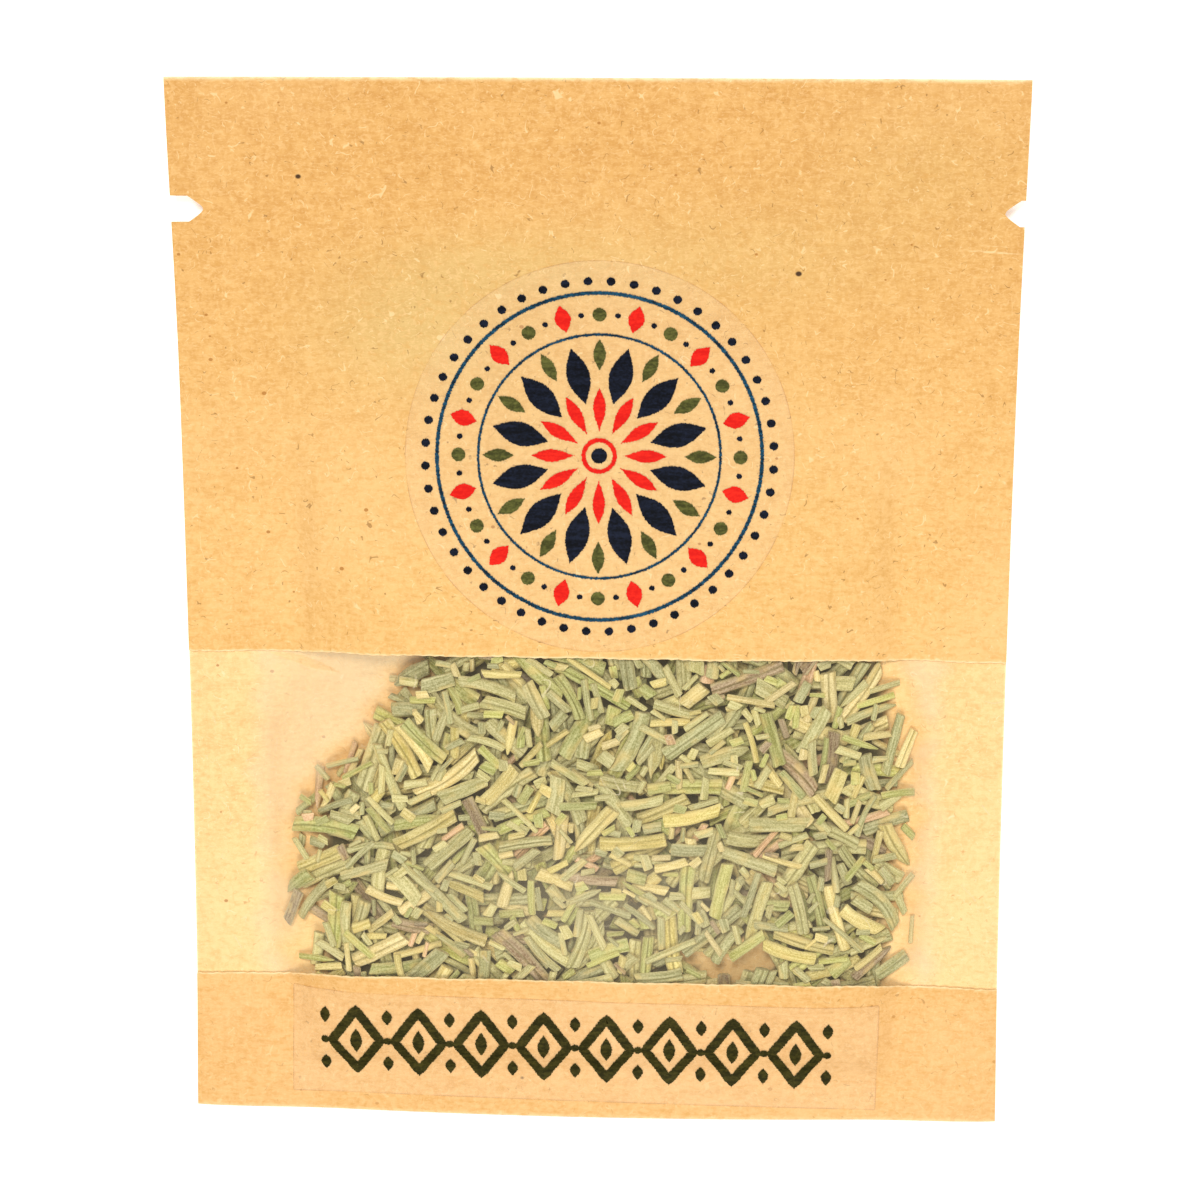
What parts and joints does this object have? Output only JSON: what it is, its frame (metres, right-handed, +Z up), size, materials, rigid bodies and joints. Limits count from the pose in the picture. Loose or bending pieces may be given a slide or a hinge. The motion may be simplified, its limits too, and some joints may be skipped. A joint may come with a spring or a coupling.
{
  "type": "kraft window pouch of dried rosemary",
  "caption": "Small flat kraft paper pouch with a clear window strip, tear notches and two plain clear stickers, filled with dried cut rosemary and lying on its back.",
  "frame": {"origin": "on the surface the pouch lies on, under the middle of its outline", "axes": "+Z up out of the front, +Y towards the top edge with the tear notches, +X to the right as seen from the front"},
  "size_m": [0.078, 0.1, 0.0047],
  "materials": {
    "kraft_back": "unbleached kraft, matte",
    "kraft_front": "unbleached kraft, matte, laminated to film",
    "clear_film": "clear film, slightly hazy",
    "clear_sticker": "clear sticker with printed ornament",
    "dried_rosemary": "dry matte leaf, grey green to straw"
  },
  "bodies": {
    "root": {"back_paper": "kraft_back", "front_film": "clear_film", "front_paper_upper": "kraft_front", "front_paper_lower": "kraft_front", "round_label": "clear_sticker", "name_label": "clear_sticker", "rosemary_fill": "dried_rosemary"}
  },
  "joints": []
}
